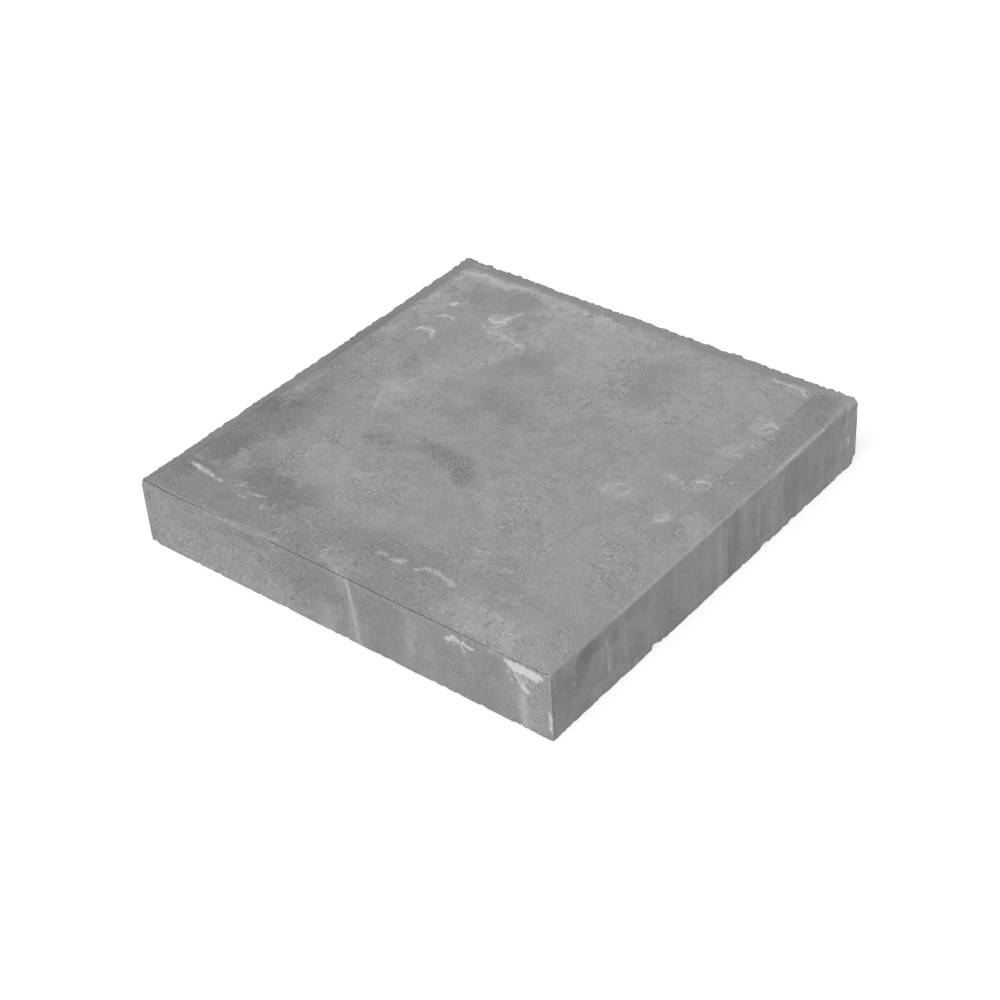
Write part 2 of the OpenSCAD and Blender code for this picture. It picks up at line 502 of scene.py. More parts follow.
# Tone of the sloping border, as pairs of place along the side and share of the panel's tone.
FRONT_BORDER = [(-200, 0.76), (-80, 0.76), (-55, 0.80), (60, 0.80), (90, 0.86), (125, 0.97), (200, 1.0)]
RIGHT_BORDER = [(-200, 0.98), (0, 0.98), (25, 0.94), (90, 0.95), (125, 0.86), (170, 0.81), (200, 0.90)]
BACK_BORDER = [(-200, 0.96), (-170, 0.97), (-130, 0.90), (-110, 0.97), (-80, 0.98), (-50, 1.04), (10, 1.04),
               (60, 1.02), (75, 0.96), (120, 0.98), (150, 0.95), (168, 1.06), (178, 1.18), (200, 1.22)]
LEFT_BORDER = [(-200, 0.76), (-120, 0.81), (-60, 0.75), (-20, 0.80), (30, 0.66), (120, 0.79), (200, 0.80)]
# Tone of each upright face: front, right, back and left.
FACE_TONES = (1.0, 0.95, 0.94, 0.92)
# How strongly water has streaked each of them.
RUN_SHARES = (0.3, 1.0, 0.8, 0.8)


def patches(across, along, marks):
    """Amount and reach of ovals on a face. With r the distance from an oval's centre over its
    half widths, its reach is exp(-0.8 r^4), and the strongest one counts. Its amount is spread
    by exp(-0.8 (r / 1.3)^4), and all of them add up."""
    amount, reach = np.zeros(len(across)), np.zeros(len(across))
    for middle_u, middle_v, wide, deep, change, *turned in marks:
        turn = radians(turned[0]) if turned else 0.0
        c, s = cos(turn), sin(turn)
        u = ((across - middle_u) * c + (along - middle_v) * s) / wide
        v = ((along - middle_v) * c - (across - middle_u) * s) / deep
        square = u * u + v * v
        amount += change * np.exp(-0.8 * (square / 1.69) ** 2)
        reach = np.maximum(reach, np.exp(-0.8 * square ** 2))
    return amount, reach


def by_side(points, values):
    """Of four values or arrays of them, the one for the side that each point lies nearest to:
    front, right, back and left, blended over 4 mm where two sides meet in a mitre."""
    x, y = points[:, 0], points[:, 1]
    reach = np.stack([-y, x, y, -x])
    share = np.clip(1 - (reach.max(axis=0) - reach) / 4, 0, 1)
    return sum(part * value for part, value in zip(share, values)) / share.sum(axis=0)


def outlines(points):
    """Two rough fields that make the outlines of borders and patches wander."""
    return [rough(points, OUTLINE_SIZE, field_number, 4, 0.65) for field_number in OUTLINE_FIELDS]


def facing_up(normal):
    """Share of each point that belongs to the top: 0 on the upright faces and under the cap."""
    return smooth(0.3, 0.7, normal[:, 2])


def tone_of(points, normal):
    """How light the skin is, about 1: the panel at 1, and the borders and faces at their own
    shares of it. Borders end in a firm line, and the front one fades into the panel."""
    x, y = points[:, 0], points[:, 1]
    inset = inset_of(points)
    top = facing_up(normal)
    profiles = ((x, FRONT_BORDER), (y, RIGHT_BORDER), (x, BACK_BORDER), (y, LEFT_BORDER))
    border_tone = by_side(points, [np.interp(along, *zip(*profile)) for along, profile in profiles])
    waver, sway = outlines(points)
    firm = smooth(BORDER_WIDTH + 0.5, BORDER_WIDTH - 2.5, inset + 0.6 * waver)
    soft = smooth(BORDER_WIDTH + 20, BORDER_WIDTH - 10, inset + 5 * sway)
    border = by_side(points, [soft, firm, firm, firm])
    return top * (1 + border * (border_tone - 1)) + (1 - top) * by_side(points, FACE_TONES)


def stains_of(points, normal):
    """Four values of each point: amount and reach of the damp, then of the dust. A noise field
    shifts the places where the patches are looked up, so that their outlines wander."""
    x, y, z = points.T
    front, right = on_sides(points)[:2]
    top = facing_up(normal)
    shift_u, shift_v = [5 * outline for outline in outlines(points)]
    found = []
    for wanted in (-1, 1):
        amount, reach = np.zeros(len(x)), np.zeros(len(x))
        for share, across, along, marks in (
                (top, x + shift_u, y + shift_v, TOP_PATCHES),
                ((1 - top) * front, x + 0.6 * shift_u, z + 0.4 * shift_v, FRONT_PATCHES),
                ((1 - top) * right, y + 0.4 * shift_u, z + 0.4 * shift_v, RIGHT_PATCHES)):
            of_kind = [mark for mark in marks if mark[4] * wanted > 0]
            patch_amount, patch_reach = patches(across, along, of_kind)
            amount += share * np.abs(patch_amount)
            reach += share * patch_reach
        found += [amount, reach]
    return found


def grit_of(points, normal):
    """How much the sand shows: most on the left of the front face, less on the other faces, and
    in drifts and two sandy patches on the top, with smooth trowelled skin between them."""
    x, y = points[:, 0], points[:, 1]
    top = facing_up(normal)
    face = by_side(points, (1.0 + 0.7 * smooth(0, -60, x), 0.35, 0.35, 0.35))
    drift = 1.0 + 0.6 * rough(points, 34, DRIFT_FIELD, 3, 0.7)
    drift += 0.9 * patches(x, y, SANDY_PATCHES)[1]
    return np.clip(top * drift + (1 - top) * face, 0.2, 1.9)


def runs_of(points, normal):
    """How strongly water has streaked the skin: not at all on the level, little on the front."""
    return by_side(points, RUN_SHARES) * smooth(0.5, 0.1, np.abs(normal[:, 2]))


# ---- Blender objects

def link(thing):
    """Puts a new object into the scene."""
    bpy.context.scene.collection.objects.link(thing)
    return thing


def mesh_object(name, points, quads, tris=None):
    """Object at the origin whose mesh has these points, in millimetres, and faces."""
    tris = np.zeros((0, 3), int) if tris is None else tris
    mesh = bpy.data.meshes.new(name)
    mesh.vertices.add(len(points))
    mesh.vertices.foreach_set("co", (points * MM).astype(np.float32).ravel())
    corners = np.concatenate([quads.ravel(), tris.ravel()])
    sizes = np.concatenate([np.full(len(quads), 4), np.full(len(tris), 3)])
    mesh.loops.add(len(corners))
    mesh.loops.foreach_set("vertex_index", corners.astype(np.int32))
    mesh.polygons.add(len(sizes))
    mesh.polygons.foreach_set("loop_start", (np.cumsum(sizes) - sizes).astype(np.int32))
    mesh.update(calc_edges=True)
    mesh.validate()
    return link(bpy.data.objects.new(name, mesh))


def store(piece, name, values):
    """Keeps one number or one vector for each point of the mesh, for the material to read."""
    vector = values.ndim == 2
    layer = piece.data.attributes.new(name, "FLOAT_VECTOR" if vector else "FLOAT", "POINT")
    layer.data.foreach_set("vector" if vector else "value", values.astype(np.float32).ravel())


def make_cap():
    """The cap: unworn surface, wear, then the values of each point that its finish reads."""
    points, quads, tris, sharp = cap_surface()
    normal = outward(points, quads, tris)
    shrunk, depth = worn(points, normal)
    piece = mesh_object("cast_cap", shrunk, quads, tris)
    piece.data.shade_smooth()
    store(piece, "cast", sharp)
    store(piece, "tone", tone_of(sharp, normal))
    for name, values in zip(("damp", "damp_reach", "dust", "dust_reach"), stains_of(sharp, normal)):
        store(piece, name, values)
    store(piece, "grit", grit_of(sharp, normal))
    store(piece, "runs", runs_of(sharp, normal))
    store(piece, "wear", smooth(0.5, 2.2, depth))
    centres = np.concatenate([sharp[quads].mean(axis=1), sharp[tris].mean(axis=1)])
    finish = region_of(centres, regions())
    piece.data.polygons.foreach_set("material_index", finish.astype(np.int32))
    return piece


# ---- marks of chalk and of dirt, with painted shadow, painted shade and a painted highlight

# Each stroke is how strong it is, then its stops: a place on its face and the half width there.
# Under a strength of 0.5 chalk is a broken film, and over 1 it is a full coat.
TOP_CHALK = [
    # scuffs across the far left of the panel
    (1.5, (-109, 118, 1.1), (-103, 117, 1.5), (-97, 116, 1.9), (-94, 121, 2.0), (-92, 130, 1.6),
     (-89, 139, 0.8)),
    (1.2, (-96, 108, 1.0), (-92, 113, 1.4), (-89.5, 124, 1.0)),
    (0.9, (-110, 121, 0.7), (-104, 125, 1.0)),
    (0.9, (-103, 112, 0.9), (-99, 118, 0.9)),
    (1.0, (-108, 109, 1.1), (-101, 103.5, 1.8), (-94, 101, 2.0), (-86, 101.5, 1.9), (-75, 100, 1.5),
     (-56, 97.5, 0.8)),
    (0.8, (-92, 106, 1.4), (-79, 104, 1.8), (-73, 100, 1.0)),
    (0.7, (-68, 91, 0.8), (-62, 95, 1.2), (-58, 101, 0.8)),
    (0.5, (-104, 77, 0.6), (-102, 90, 0.9), (-98, 98, 0.8)),
    (0.5, (-72, 58, 0.6), (-67, 81, 0.8), (-64, 92, 0.6)),
    (1.5, (-148, 70.5, 1.1), (-146, 75, 1.6), (-141, 76.8, 1.9), (-134.5, 75.5, 1.8), (-129, 68, 1.0)),
    (2.4, (-149, 116.5, 0.6), (-146.5, 119, 1.9), (-144, 121.5, 0.6)),
    (1.4, (-144, 121, 0.5), (-139, 127, 1.1)),
    (1.3, (-146, 95, 0.6), (-143, 100, 1.8), (-138, 102, 0.8), (-134, 101, 1.6), (-129, 98, 0.7)),
    (0.6, (-127, 16, 0.5), (-140, 41, 0.7)),
    (0.4, (-124, 21, 0.4), (-136, 43, 0.5)),
    (0.9, (-28, 124, 0.6), (-26, 136, 0.7)),
    (0.5, (-53, 138, 0.5), (-40, 148, 0.6), (-33, 145, 0.4)),
    (0.7, (-113, -10, 0.7), (-100, -36, 0.8), (-93, -49, 0.5)),
    (0.4, (-9, 40, 0.4), (13, 24, 0.5)),
    # far rim and left rim
    (1.1, (-170, 152, 1.4), (-168, 166, 2.4), (-154, 170, 2.6), (-140, 168, 1.6)),
    (0.45, (-140, 169, 1.8), (-112, 170, 1.4), (-94, 171, 1.4), (-65, 171, 1.6), (-40, 168.5, 1.0)),
    (0.6, (-77, 170, 1.0), (-66, 171, 1.2)),
    (0.6, (-172, 91, 1.2), (-171, 108, 2.2), (-169, 131, 2.2)),
    (0.6, (-170, 44, 1.4), (-168, 62, 1.6)),
    (0.5, (-169, -50, 1.0), (-167, -16, 1.4)),
    # near left
    (1.8, (-171, -170.8, 0.9), (-164, -171.8, 1.3), (-156, -173, 1.4), (-146, -173.8, 1.1),
     (-134, -174.8, 0.7)),
    (0.9, (-124, -175, 0.8), (-115, -171, 1.1), (-107, -168.5, 0.9)),
    (1.2, (-105, -174.5, 0.7), (-97, -173, 1.1), (-89, -171, 0.7)),
    (0.7, (-122, -169, 1.3), (-113, -166, 1.3)),
    (0.8, (-111, -179.5, 0.9), (-105, -178.5, 0.9)),
    (0.4, (-138, -148, 1.2), (-136, -139, 1.0)),
    (0.8, (-88, -180, 1.1), (-83, -178.5, 1.2)),
    (0.7, (-66, -191, 1.3), (-61, -188, 1.2)),
    (1.1, (-16.5, -190, 1.0), (-14, -186, 1.2)),
    (0.7, (-7, -183, 0.9), (-5, -181.5, 0.9)),
    (1.1, (24, -173, 1.3), (32, -172, 1.5)),
    (1.1, (37, -174, 1.4), (47, -171, 1.8)),
    (0.6, (28, -161, 1.4), (34, -165, 1.2)),
    (1.2, (58, -173, 1.0), (65, -168, 1.3), (80, -168, 1.6), (92, -171, 1.8)),
    (0.75, (70, -135, 0.8), (77, -130, 1.1), (91, -131, 1.1)),
    (0.6, (136, -180, 1.2), (143, -179, 1.6), (151, -179, 1.2)),
    (0.8, (96, -192, 1.1), (99, -190, 1.1)),
    (0.7, (110, -141, 0.8), (119, -135, 0.9)),
    # right rim
    (1.2, (137, 172, 0.8), (148, 171, 1.3), (161, 172, 1.9), (168, 170.5, 2.1), (171, 165, 1.5)),
    (1.1, (168, 112, 1.2), (170.5, 119, 2.2), (176, 119, 1.4)),
    (0.6, (159, 131, 0.9), (161, 136, 0.7)),
    (0.6, (173, 92, 0.8), (172, 105, 0.8)),
    (0.7, (174, 71, 0.9), (174, 80, 0.8), (174, 87, 1.0)),
    (0.9, (160, 66, 1.1), (167, 70, 1.4), (173, 71, 1.0)),
    (1.1, (165, 25, 1.0), (170, 29, 1.6), (175, 29, 1.6), (176, 23, 0.9)),
    (0.9, (138, 19, 0.6), (146, 20.5, 1.3), (157, 17.5, 0.8)),
    (0.6, (157, 15, 0.9), (164, 11, 0.8)),
    (1.0, (168, -30, 1.1), (172, -24, 2.0), (169, -18, 1.0)),
    (0.9, (114, -26, 0.8), (112.5, -14, 1.1), (121, -8, 1.0), (128, -6, 0.7)),
    (0.9, (126, -26, 0.7), (129, -18, 1.1), (131, -8, 0.8)),
    (0.7, (117, -24, 0.7), (120, -13, 0.9)),
    (0.6, (121, -65, 0.7), (125, -64, 0.9), (127, -60, 0.6)),
    (0.5, (164, -83, 0.8), (169, -86, 1.0), (175, -85, 0.8)),
]

# The same on the front face and on the right face, by place along the face and height.
FRONT_CHALK = [
    # lime below the arris: a clump and the flecks that lead away from it
    (2.5, (107.5, 49.4, 0.9), (111, 52.8, 1.4), (115.5, 54.4, 1.5), (119, 51.4, 1.3)),
    (2.2, (119, 50.6, 1.0), (124, 52.8, 1.3), (128, 51.6, 0.9), (133, 51.4, 0.8)),
    (1.8, (108.5, 49, 0.6), (108.5, 45.5, 0.5)),
    (1.8, (113.5, 51, 0.6), (115, 48, 0.5)),
    (1.6, (121, 50, 0.7), (124, 45.5, 0.6)),
    (1.1, (146, 58.4, 0.5), (150, 58.4, 0.6), (155, 58.6, 0.7)),
    # lime at the near corner: the wedge, its two legs and the flecks between them
    (5.0, (160.5, 57.2, 0.6), (166, 56.6, 1.1), (176, 56.5, 1.2), (186, 56.3, 1.3), (191.5, 55.6, 1.1)),
    (5.0, (164, 53.8, 0.8), (170, 53.3, 1.1), (180, 53.2, 1.3), (188, 52.8, 1.2)),
    (1.4, (163.5, 50.5, 0.6), (164, 44, 0.9), (167, 38, 0.7)),
    (2.4, (168.5, 51, 0.9), (171, 44.5, 0.9), (174, 41, 1.2)),
    (3.2, (174, 41, 1.1), (179, 37, 1.6)),
    (1.6, (172, 50.5, 0.9), (176, 44, 0.8)),
    (1.5, (176.5, 50, 0.8), (180, 44, 0.6)),
    (2.0, (184, 50.8, 1.0), (188.5, 50, 0.8)),
    # down the near arris
    (1.1, (199.4, 58.5, 0.5), (199.6, 52, 0.5)),
    (3.0, (197.6, 27, 0.6), (198.4, 23, 0.9), (198.8, 18, 0.7), (198, 12, 1.1), (199, 9.5, 0.8)),
]
RIGHT_CHALK = [
    (1.7, (186, 32, 0.7), (187, 26, 1.0)),
    (1.5, (197, 26, 0.6), (197, 20, 0.8)),
    (0.8, (-131.5, 30, 0.5), (-133, 25, 0.8), (-134, 20, 0.6)),
    (0.5, (-186.5, 16, 0.5), (-187, 11, 0.5)),
    (0.5, (-191, 8, 0.6), (-194, 5, 0.6)),
]

# Soft pale rubs and worn edges, by how far they go towards bare stone. Along the right arris the pale line
# is also a painted highlight.
TOP_RUBS_AND_HIGHLIGHTS = [
    # fine streaks where the front arris is scuffed
    (0.42, (-122, -199.6, 0.35), (-105, -199.2, 0.6), (-85, -198.6, 0.5), (-67, -197.6, 0.6),
     (-57, -196.4, 0.4)),
    (0.38, (-108, -198, 0.3), (-95, -197.2, 0.4), (-80, -196.2, 0.4), (-64, -195.4, 0.3)),
    (0.5, (-66, -197.4, 0.5), (-57, -195.8, 0.8)),
    (0.30, (-180, -198, 0.5), (-150, -198, 0.5), (-118, -198.5, 0.5)),
    (0.30, (-14, -192, 1.6), (5, -198, 1.6), (13, -199.6, 1.2)),
    # the right arris: worn, and also a painted highlight on the border's side of it, which sharpens the
    # step from the lit border to the darker face
    (0.50, (198.9, -125, 0.4), (198.9, -85, 0.6), (198.9, 85, 0.7)),
    (0.90, (198.9, 82, 0.5), (198.7, 95, 1.0), (198.7, 140, 0.9), (199, 152, 0.5)),
    (0.50, (198.5, 150, 0.5), (197, 172, 1.3), (196.5, 190, 2.4)),
]
FRONT_RUBS = [
    (0.28, (-150, 59.6, 0.4), (-118, 59.4, 0.6), (-76, 59.2, 0.4)),
    (0.50, (199.4, 58, 0.45), (199.3, 8, 0.45)),
    # pale runs
    (1.4, (14, 59.5, 0.6), (15.8, 48, 0.8), (17, 36, 0.6)),
    (0.80, (16.4, 44, 0.9), (17.8, 34, 1.2), (20.6, 1, 1.6)),
    (0.08, (71, 54, 1.8), (73, 14, 1.6)),
    (0.30, (122, 47, 1.2), (126, 37, 1.4), (130, 31, 0.8)),
    (0.75, (175.5, 37, 1.2), (174.8, 22, 1.7), (175, 10, 1.8), (176.5, 1, 2.0)),
    (0.30, (179, 24, 1.2), (180.5, 8, 1.5), (182, 2, 1.6)),
]
RIGHT_RUBS = [
    (0.35, (-137, 50, 0.7), (-134, 36, 1.2), (-133, 18, 1.0)),
    (0.25, (-141, 46, 0.5), (-140, 30, 0.5)),
    (0.22, (6, 52, 1.8), (5, 26, 2.2), (6, 3, 2.4)),
    (0.20, (57, 50, 0.6), (57.5, 18, 0.7)),
    (0.16, (88, 52, 0.8), (89, 22, 0.8)),
]

# Dark lines: painted shadow at the mould's joint along the front arris and at the near corner of the right
# face, and dirt near the corner and in runs.
TOP_JOINT_SHADOW = [
    (1.3, (-197, -198.6, 0.3), (-180, -198.9, 0.26), (-174, -199.5, 0.26), (-150, -199.3, 0.24),
     (-118, -199.5, 0.2)),
    (0.25, (-118, -199.5, 0.2), (-62, -199.3, 0.2)),
    (1.6, (-62, -199.3, 0.2), (-20, -199.1, 0.22), (60, -199.4, 0.22), (142, -199.3, 0.22)),
    (1.0, (142, -199.3, 0.2), (165, -199.3, 0.2)),
    (1.4, (165, -199.3, 0.22), (192, -199.2, 0.22), (197, -198.4, 0.2)),
]
FRONT_DIRT = [(0.40, (179.5, 35, 0.5), (180.4, 24, 0.6), (183, 18, 0.5), (188, 12, 0.5))]
RIGHT_DIRT_AND_SHADE = [
    # painted shade: a dark band beside the near corner's upright arris, and a dark line just under the
    # right arris there
    (0.70, (-198.2, 57, 0.6), (-198.4, 37, 0.7), (-197.8, 6, 0.6)),
    (0.8, (-198, 60, 0.35), (-194, 60, 0.4), (-187, 59, 0.4)),
    (0.30, (-138, 32, 0.6), (-137, 18, 0.5)),
    (0.45, (-77, 29, 0.5), (-77, 14, 0.5)),
    (0.35, (-9, 40, 0.5), (-8, 50, 0.8), (-1, 51, 0.6)),
    (0.45, (17, 44, 1.0), (18, 24, 1.4), (19, 4, 1.6)),
    (0.30, (25, 42, 0.6), (26, 8, 0.7)),
    (0.45, (60.5, 26, 0.6), (63, 11, 1.0)),
    (0.35, (91, 28, 0.6), (97, 10, 0.8)),
    (0.30, (104, 18, 0.6), (107, 6, 0.7)),
    (0.35, (-61, 15, 0.6), (-50, 18, 0.8), (-47, 9, 0.6)),
]


# How far past a region's box, in millimetres, a face's centre still counts as inside it.
REGION_MARGIN = 0.01


def on_top(x, y):
    """Place on the unworn top: up the sloping border, then level across the panel."""
    inset = HALF - max(abs(x), abs(y))
    return (x, y, EDGE + BORDER_RISE * min(max(inset / BORDER_WIDTH, 0), 1))


def on_front(x, z):
    """Place on the unworn front face."""
    return (x, -HALF, z)


def on_right(y, z):
    """Place on the unworn right face."""
    return (HALF, y, z)


# Layers of marks: lists of strokes, each with the face that they lie on.
CHALK = ((TOP_CHALK, on_top), (FRONT_CHALK, on_front), (RIGHT_CHALK, on_right))
# rubs and worn edges, with a painted highlight along the right arris
RUBS_AND_HIGHLIGHTS = ((TOP_RUBS_AND_HIGHLIGHTS, on_top), (FRONT_RUBS, on_front), (RIGHT_RUBS, on_right))
# the painted shadow line along the mould's joint under the front arris
JOINT_SHADOW = ((TOP_JOINT_SHADOW, on_top),)
# dirt, with painted shade at the near corner of the right face
DIRT_AND_SHADE = ((FRONT_DIRT, on_front), (RIGHT_DIRT_AND_SHADE, on_right))


def regions():
    """Boxes on the unworn cap, each for a material that has only the strokes near it: the top
    in quarters, the front face in halves, the right face, and last an empty box well below
    the cap, which stands for all the faces without marks."""
    boxes = {}
    for side, x in (("left", -HALF), ("right", 0)):
        for end, y in (("front", -HALF), ("back", 0)):
            boxes[f"top_{end}_{side}"] = ((x, y, EDGE), (x + HALF, y + HALF, TOP))
    for side, x in (("left", -HALF), ("right", 0)):
        boxes[f"front_{side}"] = ((x, -HALF, 0), (x + HALF, -HALF, EDGE))
    boxes["right"] = ((HALF, -HALF, 0), (HALF, HALF, EDGE))
    boxes["unmarked"] = ((0, 0, -HALF), (0, 0, -HALF))
    return boxes


def region_of(centres, boxes):
    """Number of the first box that each face's centre lies in, or of the last box if none."""
    found = np.full(len(centres), len(boxes) - 1)
    for number, (low, high) in enumerate(boxes.values()):
        above = centres > np.array(low) - REGION_MARGIN
        below = centres < np.array(high) + REGION_MARGIN
        inside = np.all(above & below, axis=1)
        found[inside] = np.minimum(found[inside], number)
    return found


# ---- node helpers

def feed(socket, value):
    """Joins an output to a socket, or sets the socket's own value."""
    if isinstance(value, bpy.types.NodeSocket):
        socket.id_data.links.new(value, socket)
    else:
        socket.default_value = value


def add_node(tree, kind, *values, **settings):
    """A shader node with its settings, whose first sockets take the values in their order."""
    node = tree.nodes.new("ShaderNode" + kind)
    for setting, value in settings.items():
        setattr(node, setting, value)
    for socket, value in zip(node.inputs, values):
        feed(socket, value)
    return node


def math_of(operation, *values):
    """A Math node's result, in the tree that its values come from."""
    tree = next(value.id_data for value in values if isinstance(value, bpy.types.NodeSocket))
    return add_node(tree, "Math", *values, operation=operation).outputs[0]


def vector_of(operation, first, second=None, scale=None):
    """A Vector Math node's result: a number for a length or a dot product."""
    node = add_node(first.id_data, "VectorMath", first, operation=operation)
    if second is not None:
        feed(node.inputs[1], second)
    if scale is not None:
        feed(node.inputs["Scale"], scale)
    return node.outputs["Value" if operation in ("LENGTH", "DOT_PRODUCT") else "Vector"]


def between(value, low, high, to_low=0.0, to_high=1.0):
    """Smooth step from to_low at low to to_high at high."""
    return add_node(value.id_data, "MapRange", value, low, high, to_low, to_high,
                    interpolation_type="SMOOTHSTEP").outputs[0]


def blend(low, high, share):
    """Between two numbers by a share."""
    node = add_node(share.id_data, "Mix", data_type="FLOAT")
    for number, value in ((0, share), (2, low), (3, high)):
        feed(node.inputs[number], value)
    return node.outputs[0]


def field(place, size, octaves, gain, stretch=(1, 1, 1), colour=False):
    """Noise of a grain size in millimetres, longer by stretch along each axis."""
    node = add_node(place.id_data, "TexNoise")
    for name, value in (("Scale", 1.0), ("Detail", octaves), ("Roughness", gain)):
        feed(node.inputs[name], value)
    shrink = tuple(1 / (size * s) for s in stretch)
    feed(node.inputs["Vector"], vector_of("MULTIPLY", place, shrink))
    return node.outputs["Color" if colour else "Fac"]


def cells(place, size):
    """One number from 0 to 1 for each irregular cell of a size in millimetres."""
    node = add_node(place.id_data, "TexVoronoi")
    feed(node.inputs["Scale"], 1.0)
    feed(node.inputs["Vector"], vector_of("MULTIPLY", place, (1 / size,) * 3))
    return add_node(place.id_data, "SeparateColor", node.outputs["Color"]).outputs[0]


def moved(place, shift):
    """A place shifted by so many millimetres, for a second field that differs from the first."""
    return vector_of("ADD", place, shift)


def astray(place, wander, distance):
    """A place moved along a wandering vector, times a distance in millimetres."""
    return vector_of("ADD", place, vector_of("SCALE", wander, scale=distance))


def scaled(value, factor, plus):
    """A value times a factor, plus a number."""
    return math_of("MULTIPLY_ADD", value, factor, plus)


def off_middle(value, amount):
    """Amount times how far a noise is from its middle."""
    return scaled(value, amount, -amount / 2)


def swing(value, amount):
    """1 plus amount times how far a noise is from its middle."""
    return scaled(math_of("SUBTRACT", value, 0.5), amount, 1.0)


def product(*values):
    """All the values multiplied together."""
    return functools.reduce(functools.partial(math_of, "MULTIPLY"), values)


def attribute(tree, name, output="Fac"):
    """A value that the mesh keeps for each point."""
    return add_node(tree, "Attribute", attribute_name=name).outputs[output]


def new_material(name):
    """A material, its node tree and its main shader."""
    material = bpy.data.materials.new(name)
    material.use_nodes = True
    return material, material.node_tree, material.node_tree.nodes["Principled BSDF"]


# How many half widths out a stroke comes to nothing, and how far its edge may wander.
STROKE_REACH = 5.5
STROKE_WANDER = 5.0


def stroke_group():
    """Node group for one stroke, from a start along a whole vector: with r the distance from it
    over the half width there, it gives peak (1 - r / STROKE_REACH). Along is the whole vector
    over its own square, so that a place's share of the way is one dot product. Fall is the
    peak over STROKE_REACH, below zero."""
    group = bpy.data.node_groups.new("stroke", "ShaderNodeTree")
    sockets = [(name, "NodeSocketVector") for name in ("Place", "Start", "Whole", "Along")]
    sockets += [(name, "NodeSocketFloat") for name in ("Width", "Widening", "Peak", "Fall")]
    for name, kind in sockets:
        group.interface.new_socket(name, in_out="INPUT", socket_type=kind)
    group.interface.new_socket("Level", in_out="OUTPUT", socket_type="NodeSocketFloat")
    given = group.nodes.new("NodeGroupInput").outputs
    part = vector_of("SUBTRACT", given["Place"], given["Start"])
    share = vector_of("DOT_PRODUCT", part, given["Along"])
    share = add_node(group, "Clamp", share).outputs[0]
    nearest = vector_of("SCALE", given["Whole"], scale=share)
    off = vector_of("SUBTRACT", part, nearest)
    width = scaled(given["Widening"], share, given["Width"])
    ratio = math_of("DIVIDE", vector_of("LENGTH", off), width)
    level = scaled(ratio, given["Fall"], given["Peak"])
    feed(group.nodes.new("NodeGroupOutput").inputs["Level"], level)
    return group


def stretches(region, layer):
    """Strength and two ends, each a place and a half width, of every stretch from stop to stop
    that may reach the region. A layer is lists of strokes, each with the face it lies on."""
    for marks, surface in layer:
        for strength, *stops in marks:
            for (u0, v0, width), (u1, v1, end_width) in zip(stops, stops[1:]):
                start, end = Vector(surface(u0, v0)), Vector(surface(u1, v1))
                reach = STROKE_REACH * max(width, end_width) + STROKE_WANDER
                if all(min(a, b) - reach < high and max(a, b) + reach > low
                       for a, b, low, high in zip(start, end, *region)):
                    yield strength, start, width, end, end_width


def strokes(group, place, region, layer):
    """How strongly a layer's stretches near the region cover a place: the highest of their
    levels, cubed, which makes a narrow core with a wide faint edge. A stretch's peak is the
    cube root of its strength."""
    total = 0.0
    for strength, start, width, end, end_width in stretches(region, layer):
        peak = strength ** (1 / 3)
        whole = end - start
        node = add_node(place.id_data, "Group", place, start, whole, whole / whole.length_squared,
                        width, end_width - width, peak, -peak / STROKE_REACH, node_tree=group)
        total = math_of("MAXIMUM", node.outputs[0], total)
    return add_node(place.id_data, "Math", total, 3.0, operation="POWER").outputs[0]


# ---- the concrete's finish

# Grain of each pattern, in millimetres.
SAND_SIZE = 0.95
GAP_SIZE = 1.1
GRAIN_SIZE = 1.15
PIT_SIZE = 1.25
FINES_SIZE = 2.4
WANDER_SIZE = 4.0
PASTE_SIZE = 7.0
RUN_SIZE = 8.0
CLUMP_SIZE = 9.0
CURTAIN_SIZE = 14.0
LEAF_SIZE = 15.0
CROWD_SIZE = 22.0
CLOUD_SIZE = 30.0

# How much each pattern changes the tone, as a share of it from its darkest to its palest.
SAND_SWING = 0.25
FINES_SWING = 0.21
PASTE_SWING = 0.26
CLOUD_SWING = 0.20
LEAF_SWING = 0.055
RUN_SWING = 0.26
CURTAIN_SWING = 0.06
PIT_TONE = 0.87
GRAIN_TONE = 1.45

# Share of the light that comes back from the skin, from worn stone, from rubs and the painted highlight,
# and from lime.
SKIN = 0.317
WORN_STONE = 0.39
RUBBED_SKIN_AND_HIGHLIGHT = 0.50
LIME = 0.69
# What the painted shadow at the mould's joint, and dirt with painted shade, leave of it.
JOINT_SHADOW_TONE = 0.42
DIRT_AND_SHADE_TONE = 0.55
# How far each layer's strokes wander, in millimetres: chalk, rubs and dirt with their painted highlight and
# shade, and the joint's painted shadow.
CHALK_WANDER = 6.5
DIRT_AND_SHADE_WANDER = 2.2
JOINT_SHADOW_WANDER = 0.9
# The thinnest coat of chalk, how fast it thickens with the stroke, and the thickest.
THIN_COAT = 0.2
COAT_GAIN = 0.2
FULL_COAT = 0.97


